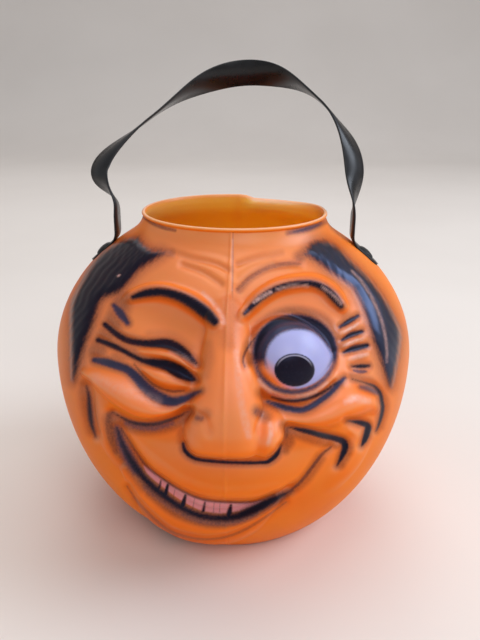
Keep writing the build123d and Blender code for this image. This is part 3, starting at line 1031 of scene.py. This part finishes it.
def strap_path(end, hinge):
    """Middle line of the whole strap, and the share of the bow's length at each point."""
    lean = radians(tongue_lean)
    tongue = hinge + tongue_length * np.array((0, sin(lean), cos(lean)))
    mirror = np.array((-1, 1, 1))
    bow = np.array(strap_route) * (hinge[0], crown_back, crown_rise) + (0, 0, hinge[2])
    line = smooth_line([hinge * mirror, tongue * mirror, *bow, tongue, hinge], per_span=12)
    for _ in range(strap_smoothing):
        line[1:-1] = (line[:-2] + 2 * line[1:-1] + line[2:]) / 4
    run = length_along(line)
    share = np.concatenate([np.zeros(len(end)), run / run[-1], np.ones(len(end))])
    return np.vstack([end * mirror, line, end[::-1]]), share


def across_strap(share):
    """Direction across the strap: level at twists, out at the legs, tipped at the crown."""
    leg, tip = radians(leg_turn), radians(crown_turn)
    level = (0, 1, 0)
    crown = (0, cos(tip), -sin(tip))
    ways = np.array([level, (-sin(leg), cos(leg), 0), level, crown, level, (sin(leg), cos(leg), 0), level])
    place = np.clip(np.searchsorted(twist_stops, share, side="right") - 1, 0, len(ways) - 2)
    part = (share - np.array(twist_stops)[place]) / np.diff(twist_stops)[place]
    ease = steps_between(0, 1, part)[:, None]
    return ways[place] * (1 - ease) + ways[place + 1] * ease


def strap_mesh(line, share):
    """The whole strap, a flat strip with rounded edges and rounded ends."""
    along = unit(np.gradient(line, axis=0))
    across = across_strap(share)
    across = unit(across - along * np.sum(along * across, axis=1, keepdims=True))
    out = np.cross(across, along)
    run = length_along(line)
    from_end = np.minimum(run, run[-1] - run)
    half = strap_width / 2
    width = np.sqrt(np.clip(half**2 - np.clip(half - from_end, 0, None) ** 2, least_half_width**2, None))
    edge = strap_thickness / 2
    sides = []
    for flip in (1, -1):
        for a in np.radians((-60, -20, 20, 60)):
            inset = edge * (cos(a) - 1)
            sides.append(line + across * (flip * (width + inset))[:, None] + out * (flip * edge * sin(a)))
        sides.append(line + out * (flip * edge))
    section = np.stack(sides, axis=1)
    index, _, faces = wrap(*section.shape[:2])
    return make_mesh("strap", section.reshape(-1, 3), faces + [index[0][::-1], index[-1]])


def feed(tree, node, inputs):
    """Sets a node's inputs, each a value or a socket to link."""
    for name, value in inputs.items():
        if isinstance(value, bpy.types.NodeSocket):
            tree.links.new(value, node.inputs[name])
        else:
            node.inputs[name].default_value = value


def add_node(tree, kind, inputs, **settings):
    """A shader node with its settings and its inputs."""
    node = tree.nodes.new("ShaderNode" + kind)
    for name, value in settings.items():
        setattr(node, name, value)
    feed(tree, node, inputs)
    return node


def new_material(name):
    material = bpy.data.materials.new(name)
    material.use_nodes = True
    tree = material.node_tree
    return material, tree, tree.nodes["Principled BSDF"]


def mix_colour(tree, share, before, after):
    return add_node(tree, "Mix", {0: share, 6: before, 7: after}, data_type="RGBA").outputs[2]


def lay(tree, colour, *layers):
    """Lays other colours on a colour, each by its share."""
    for share, paint in layers:
        colour = mix_colour(tree, share, colour, paint)
    return colour


def mix_value(tree, share, before, after):
    return add_node(tree, "Mix", {0: share, 2: before, 3: after}, data_type="FLOAT").outputs[0]


def calculate(tree, operation, *values):
    return add_node(tree, "Math", dict(enumerate(values)), operation=operation).outputs[0]


def noise(tree, scale, detail=3.0, roughness=0.5):
    place = add_node(tree, "TexCoord", {}).outputs["Object"]
    inputs = {"Vector": place, "Scale": scale, "Detail": detail, "Roughness": roughness}
    return add_node(tree, "TexNoise", inputs).outputs["Fac"]


def map_range(tree, value, low, high, to_low=0.0, to_high=1.0):
    inputs = {"Value": value, "From Min": low, "From Max": high, "To Min": to_low, "To Max": to_high}
    return add_node(tree, "MapRange", inputs, interpolation_type="SMOOTHSTEP").outputs["Result"]


def bump(tree, height, strength, distance):
    inputs = {"Height": height, "Strength": strength, "Distance": distance}
    return add_node(tree, "Bump", inputs).outputs["Normal"]


def attribute(tree, name):
    return add_node(tree, "Attribute", {}, attribute_name=name).outputs["Fac"]


def cover(tree, name, speckle, amount):
    """Share that a paint covers, broken up by speckle at its edges."""
    level = calculate(tree, "SUBTRACT", speckle, 0.5)
    ragged = calculate(tree, "MULTIPLY_ADD", level, amount, attribute(tree, name))
    return map_range(tree, ragged, -0.5, 0.5)


def bare_plastic(tree, patches):
    """Colour of the bare plastic: lighter up and in front, partly sun fading and partly painted sheen; worn
    on its ridges; painted shade deep in its creases; a painted glow inside and a painted highlight on the
    rim's top.
    """
    upward = attribute(tree, "upward")
    hollow = attribute(tree, "hollow")
    # Painted sheen, partly sun fading: lighter where the plastic faces up and towards the front
    fading_and_sheen = map_range(tree, upward, -0.4, 0.3, 0.0, 0.62)
    fading_and_sheen = mix_value(tree, map_range(tree, upward, 0.25, 0.6), fading_and_sheen, 0.42)
    in_light = map_range(tree, attribute(tree, "forward"), 0.05, 0.55, 0.35, 1.0)
    fading_and_sheen = calculate(tree, "MULTIPLY", fading_and_sheen, in_light)
    worn = map_range(tree, hollow, 0.15, 0.9, 0.0, 0.3)
    # Painted shade: darker orange in the creases, where the fine relief dips
    crease_shade = map_range(tree, hollow, -0.2, -1.2, 0.0, 0.5)
    # Painted highlight: paler where the rim's top faces up
    lip = calculate(tree, "MULTIPLY", map_range(tree, upward, 0.35, 0.75), attribute(tree, "rim"))
    # The inside's colour is a painted glow, lighter than the outside's
    return lay(
        tree, deep_orange, (patches, bright_orange), (fading_and_sheen, fading_and_sheen_orange), (worn, worn_orange),
        (crease_shade, crease_shade_orange), (attribute(tree, "inside"), inner_glow_orange), (lip, rim_highlight_orange),
    )


def spray_face(tree, colour, speckle, coarse):
    """Lays the face's paint, its painted shade and the eye's painted sheen on a colour. Gives that colour
    and the share of dark paint.
    """
    droplets = map_range(tree, speckle, 0.3, 0.7, 0.9, 1.1)
    # Airbrushed haze and painted shade
    shade = calculate(tree, "MULTIPLY", attribute(tree, "shade"), droplets)
    grey = cover(tree, "grey", speckle, 0.35)
    black = cover(tree, "black", speckle, 0.3)
    colour = lay(
        tree, colour, (shade, airbrush_and_shade_brown), (cover(tree, "tooth", coarse, 0.3), tooth_pink),
        (cover(tree, "white", coarse, 0.3), eye_lilac_sheen_and_shade), (grey, grey_spray_and_lid_sheen), (black, spray_black),
    )
    return colour, calculate(tree, "MAXIMUM", black, grey)


def wear_and_highlights(tree, colour):
    """Rubs pale worn places and painted highlights into a colour, and draws the painted glint line inside
    the top of the pupil.
    """
    # Pale rubbed places and painted highlights, broken up by noise
    broken = map_range(tree, noise(tree, 420.0, 3.0, 0.65), 0.3, 0.65, 0.45, 1.0)
    scuff_and_highlight = calculate(tree, "MULTIPLY", attribute(tree, "scuff_and_highlight"), broken)
    # Painted glint: a pale line just inside the top edge of the pupil
    pupil = attribute(tree, "pupil")
    into = map_range(tree, pupil, 0.6, 1.8)
    not_beyond = map_range(tree, pupil, 2.0, 3.2, 1.0, 0.0)
    upper = map_range(tree, attribute(tree, "above"), 0.1, 0.75, 0.0, 0.8)
    line = calculate(tree, "MULTIPLY", calculate(tree, "MULTIPLY", into, not_beyond), upper)
    return lay(tree, colour, (scuff_and_highlight, scuff_and_highlight_pink), (line, pupil_glint_grey))


def painted_plastic():
    """Orange plastic with the sprayed face, its painted shade and painted highlights. Light soaks into it
    and glows through the wall.
    """
    material, tree, shader = new_material("painted_orange_plastic")
    patches = map_range(tree, noise(tree, 28.0, 4.0), 0.3, 0.7)
    speckle = noise(tree, 900.0, 2.0, 0.7)
    coarse = noise(tree, 260.0, 3.0, 0.6)
    colour, painted = spray_face(tree, bare_plastic(tree, patches), speckle, coarse)
    edgewise = add_node(tree, "LayerWeight", {}).outputs["Facing"]
    gloss = map_range(tree, attribute(tree, "upward"), -0.1, 0.35, 0.04, 0.45)
    gloss = mix_value(tree, map_range(tree, edgewise, 0.3, 0.75), gloss, 0.03)
    paint_gloss = mix_value(tree, attribute(tree, "tress"), 0.22, 0.9)
    feed(tree, shader, {
        "Base Color": wear_and_highlights(tree, colour),
        "Roughness": mix_value(tree, painted, mix_value(tree, patches, 0.32, 0.40), 0.32),
        "Normal": bump(tree, coarse, 0.06, 0.0004),
        "Specular Tint": mix_colour(tree, painted, plain_sheen, paint_sheen),
        "Specular IOR Level": mix_value(tree, painted, gloss, paint_gloss),
        "Subsurface Weight": mix_value(tree, attribute(tree, "inside"), 0.45, 1.0),
        "Subsurface Radius": soak_radius,
        "Subsurface Scale": soak_scale,
    })
    return material


def black_plastic(name, roughness_low, roughness_high):
    """Black flexible plastic with faint streaks and rubbed patches."""
    material, tree, shader = new_material(name)
    share = map_range(tree, noise(tree, 90.0, 4.0), 0.35, 0.7)
    feed(tree, shader, {
        "Base Color": mix_colour(tree, share, strap_black, strap_rubbed),
        "Roughness": mix_value(tree, share, roughness_low, roughness_high),
        "Specular IOR Level": 0.35,
        "Normal": bump(tree, noise(tree, 700.0), 0.05, 0.0003),
    })
    return material


def dressed(name, mesh, material):
    """Puts a mesh with its material into the scene."""
    mesh.materials.append(material)
    return put(name, mesh)


def dress_pail():
    piece = dressed("pail", shell_mesh(), painted_plastic())
    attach(piece, "pail")
    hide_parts("pail_shell")


def dress_strap():
    end, tab_top, hinge = strap_end()
    mesh = strap_mesh(*strap_path(end, hinge))
    piece = dressed("strap", mesh, black_plastic("strap_black_plastic", 0.26, 0.36))
    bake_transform(piece)
    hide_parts("strap_bow", "strap_tab_left", "strap_tab_right")


def dress_rivets():
    rivet_plastic = black_plastic("rivet_black_plastic", 0.34, 0.46)
    for node in ("rivet_left", "rivet_right"):
        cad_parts[node].data.materials.clear()
        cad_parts[node].data.materials.append(rivet_plastic)


def make_floor():
    """Pale floor that curves up into a backdrop."""
    line = [(-floor_front, 0.0), (floor_back, 0.0)]
    for a in np.linspace(0.1, pi / 2, 14):
        line.append((floor_back + backdrop_bend * sin(a), backdrop_bend * (1 - cos(a))))
    line.append((floor_back + backdrop_bend, backdrop_height))
    points = [(side * floor_half, y, z) for y, z in line for side in (-1, 1)]
    faces = [(2 * i, 2 * i + 1, 2 * i + 3, 2 * i + 2) for i in range(len(line) - 1)]
    material, tree, shader = new_material("pale_floor")
    share = map_range(tree, noise(tree, 3.0), 0.3, 0.7)
    feed(tree, shader, {"Base Color": mix_colour(tree, share, floor_dull, floor_pale), "Roughness": 0.8})
    dressed("floor", make_mesh("floor", np.array(points), faces), material)


def make_lamp(name, place, size, power, colour):
    data = bpy.data.lights.new(name, "AREA")
    data.shape = "DISK"
    data.size = size
    data.energy = power
    data.color = colour
    lamp = put(name, data)
    lamp.location = place
    lamp.visible_camera = False
    lamp.rotation_euler = (lamp_target - Vector(place)).to_track_quat("-Z", "Y").to_euler()


def make_lights():
    for lamp in lamps:
        make_lamp(*lamp)
    world = bpy.data.worlds.new("world")
    world.use_nodes = True
    tree = world.node_tree
    feed(tree, tree.nodes["Background"], {"Color": world_colour, "Strength": world_strength})
    bpy.context.scene.world = world


bpy.context.scene.view_settings.view_transform = "Standard"
dress_pail()
dress_strap()
dress_rivets()
make_floor()
make_lights()
